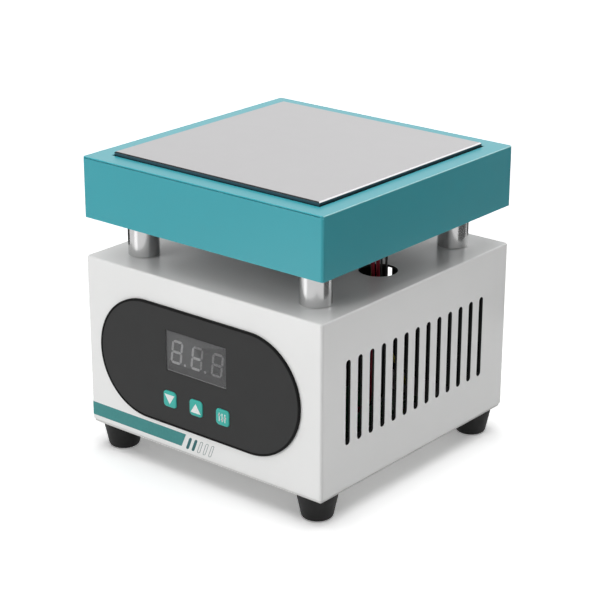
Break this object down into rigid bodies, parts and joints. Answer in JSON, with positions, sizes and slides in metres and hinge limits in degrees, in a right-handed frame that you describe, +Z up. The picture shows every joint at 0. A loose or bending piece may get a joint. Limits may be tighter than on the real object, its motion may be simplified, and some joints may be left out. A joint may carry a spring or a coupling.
{
  "type": "pcb preheater",
  "caption": "Square bench preheater for circuit boards: an aluminium hot plate in a teal hood on posts above a pale vented case with a display panel, keys and a rear mains inlet.",
  "frame": {"origin": "on the bench, at the middle of the square footprint", "axes": "+Z up, out of the heating face; -Y towards the user, where the panel is; +X to the user's right"},
  "size_m": [0.1436, 0.1484, 0.149],
  "materials": {
    "hood_paint": "teal powder coat",
    "case_paint": "pale satin enamel",
    "sheet_steel": "zinc plated sheet",
    "heated_face": "fine milled and bead blasted",
    "insulation": "matt",
    "screw_steel": "nickel plated",
    "heater_steel": "drawn tube",
    "heater_wire": "silicone insulation",
    "sensor_wire": "silicone insulation",
    "earth_wire": "insulation",
    "mains_wire": "insulation",
    "polished_post": "polished",
    "foot_rubber": "moulded",
    "panel_overlay": "fine matt print",
    "display_lens": "smoked clear plastic",
    "display_body": "moulded",
    "display_segment": "unlit resin",
    "key_plastic": "moulded",
    "switch_plastic": "moulded",
    "circuit_board": "solder mask",
    "contact_brass": "plain",
    "core_steel": "laminated",
    "coil_winding": "taped copper winding",
    "sink_aluminium": "extruded",
    "component_plastic": "moulded",
    "fuse_glass": "clear tube with plated caps",
    "fitting_plastic": "moulded"
  },
  "bodies": {
    "base": {"heater_hood": "hood_paint", "case_shell": "case_paint", "bottom_plate": "case_paint", "hood_floor": "sheet_steel", "heating_block": "heated_face", "insulation_board": "insulation", "block_spacers": "insulation", "block_screws": "screw_steel", "post_top_screws": "screw_steel", "post_bottom_screws": "screw_steel", "foot_screws": "screw_steel", "foot_washers": "screw_steel", "case_nuts": "screw_steel", "board_screws": "screw_steel", "inlet_screws": "screw_steel", "earth_screws": "screw_steel", "cartridge_heaters": "heater_steel", "sensor_probe": "heater_steel", "heater_leads": "heater_wire", "sensor_leads": "sensor_wire", "earth_lead": "earth_wire", "mains_leads": "mains_wire", "ribbon_cable": "mains_wire", "support_post_front_left": "polished_post", "support_post_front_right": "polished_post", "support_post_rear_left": "polished_post", "support_post_rear_right": "polished_post", "foot_front_left": "foot_rubber", "foot_front_right": "foot_rubber", "foot_rear_left": "foot_rubber", "foot_rear_right": "foot_rubber", "control_panel": "panel_overlay", "display_lens": "display_lens", "display_module": "display_body", "display_segments": "display_segment", "tact_switches": "switch_plastic", "control_pcb": "circuit_board", "power_pcb": "circuit_board", "panel_standoffs": "contact_brass", "pcb_spacers": "contact_brass", "fuse_clips": "contact_brass", "rocker_tabs": "contact_brass", "inlet_pins": "contact_brass", "transformer_core": "core_steel", "transformer_coil": "coil_winding", "heatsink": "sink_aluminium", "triac": "component_plastic", "lead_terminal": "component_plastic", "mains_terminal": "component_plastic", "fuse": "fuse_glass", "mains_inlet": "fitting_plastic", "rocker_frame": "fitting_plastic"},
    "key_down": {"key_down": "key_plastic", "plunger_down": "switch_plastic"},
    "key_up": {"key_up": "key_plastic", "plunger_up": "switch_plastic"},
    "key_set": {"key_set": "key_plastic", "plunger_set": "switch_plastic"},
    "rocker": {"rocker": "fitting_plastic"}
  },
  "joints": [
    {"name": "key_down_press", "type": "slide", "parent": "base", "child": "key_down", "axis": [0, 1, 0], "range_m": [0, 0.0004], "stiffness_N_per_m": 5000},
    {"name": "key_up_press", "type": "slide", "parent": "base", "child": "key_up", "axis": [0, 1, 0], "range_m": [0, 0.0004], "stiffness_N_per_m": 5000},
    {"name": "key_set_press", "type": "slide", "parent": "base", "child": "key_set", "axis": [0, 1, 0], "range_m": [0, 0.0004], "stiffness_N_per_m": 5000},
    {"name": "rocker_tilt", "type": "hinge", "parent": "base", "child": "rocker", "pos_m": [-0.036, 0.0698, 0.0725], "axis": [1, 0, 0], "range_deg": [0, 20]}
  ]
}
